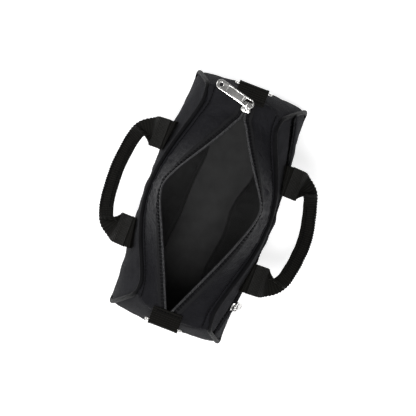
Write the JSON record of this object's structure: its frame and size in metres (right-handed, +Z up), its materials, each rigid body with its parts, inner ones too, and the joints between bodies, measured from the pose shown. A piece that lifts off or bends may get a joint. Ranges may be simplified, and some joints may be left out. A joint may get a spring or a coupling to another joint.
{
  "type": "mini duffel handbag",
  "caption": "Small soft carry bag with an open zipped mouth, a zipped front pocket, two webbing handles and a ring tab at each end.",
  "frame": {"origin": "centre of the flat underside, on the surface the bag stands on", "axes": "+X along the bag towards the end where the main slider rests, +Y from the front with the zipped pocket to the back, +Z up out of the mouth"},
  "size_m": [0.2626, 0.2137, 0.1842],
  "materials": {
    "nylon": "plain-woven nylon, slight sheen",
    "gusset_nylon": "plain-woven nylon, bluish black, slight sheen",
    "piping_nylon": "bias nylon over a soft cord",
    "lining_satin": "satin lining, soft sheen",
    "board": "thin stiff plastic sheet, matt",
    "zip_tape": "woven polyester zip tape",
    "zip_coil": "nylon coil, satin",
    "webbing": "ribbed nylon webbing",
    "nickel": "polished nickel plate"
  },
  "bodies": {
    "bag": {"back_panel": "nylon", "base_board": "board", "base_panel": "nylon", "end_panel_left": "nylon", "end_panel_right": "nylon", "front_panel": "nylon", "front_yoke": "nylon", "handle_back_ends": "webbing", "handle_front_ends": "webbing", "lining_back": "lining_satin", "lining_end_left": "lining_satin", "lining_end_right": "lining_satin", "lining_floor": "lining_satin", "lining_front": "lining_satin", "piping_back": "piping_nylon", "piping_front": "piping_nylon", "pocket_coil_lower": "zip_coil", "pocket_coil_upper": "zip_coil", "pocket_lining": "lining_satin", "pocket_tape_lower": "zip_tape", "pocket_tape_upper": "zip_tape", "ring_tab_left": "webbing", "ring_tab_right": "webbing", "top_gusset_back": "gusset_nylon", "top_gusset_front": "gusset_nylon", "zip_coil_back": "zip_coil", "zip_coil_front": "zip_coil", "zip_tape_back": "zip_tape", "zip_tape_front": "zip_tape"},
    "main_slider": {"main_slider": "nickel"},
    "main_puller": {"main_puller": "nickel"},
    "pocket_slider": {"pocket_slider": "nickel"},
    "pocket_puller": {"pocket_puller": "nickel"},
    "handle_front": {"handle_front_loop": "webbing"},
    "handle_back": {"handle_back_loop": "webbing"},
    "ring_left": {"ring_left": "nickel"},
    "ring_right": {"ring_right": "nickel"}
  },
  "joints": [
    {"name": "main_slide", "type": "slide", "parent": "bag", "child": "main_slider", "axis": [-1, 0, 0], "range_m": [0, 0.2], "deforming": ["top_gusset_front", "top_gusset_back", "zip_tape_front", "zip_tape_back", "zip_coil_front", "zip_coil_back"]},
    {"name": "main_puller_swivel", "type": "hinge", "parent": "main_slider", "child": "main_puller", "pos_m": [0.1062, 0, 0.154], "axis": [0, 0, -1], "range_deg": [0, 152]},
    {"name": "pocket_slide", "type": "hinge", "parent": "bag", "child": "pocket_slider", "pos_m": [0, 0.3586, 0.102], "axis": [0, 0, 1], "range_deg": [-2.5, 25.4]},
    {"name": "pocket_puller_swivel", "type": "hinge", "parent": "pocket_slider", "child": "pocket_puller", "pos_m": [-0.08197, -0.06129, 0.1015], "axis": [-0.1919, -0.9467, 0.2588], "range_deg": [-20, 85]},
    {"name": "handle_front_swing", "type": "hinge", "parent": "bag", "child": "handle_front", "pos_m": [0, -0.061, 0.125], "axis": [-1, 0, 0], "range_deg": [0, 135]},
    {"name": "handle_back_swing", "type": "hinge", "parent": "bag", "child": "handle_back", "pos_m": [0, 0.061, 0.125], "axis": [1, 0, 0], "range_deg": [0, 135]},
    {"name": "ring_left_swing", "type": "hinge", "parent": "bag", "child": "ring_left", "pos_m": [-0.1213, 0, 0.1489], "axis": [0, 1, 0], "range_deg": [0, 125]},
    {"name": "ring_right_swing", "type": "hinge", "parent": "bag", "child": "ring_right", "pos_m": [0.1213, 0, 0.1489], "axis": [0, -1, 0], "range_deg": [0, 125]}
  ]
}
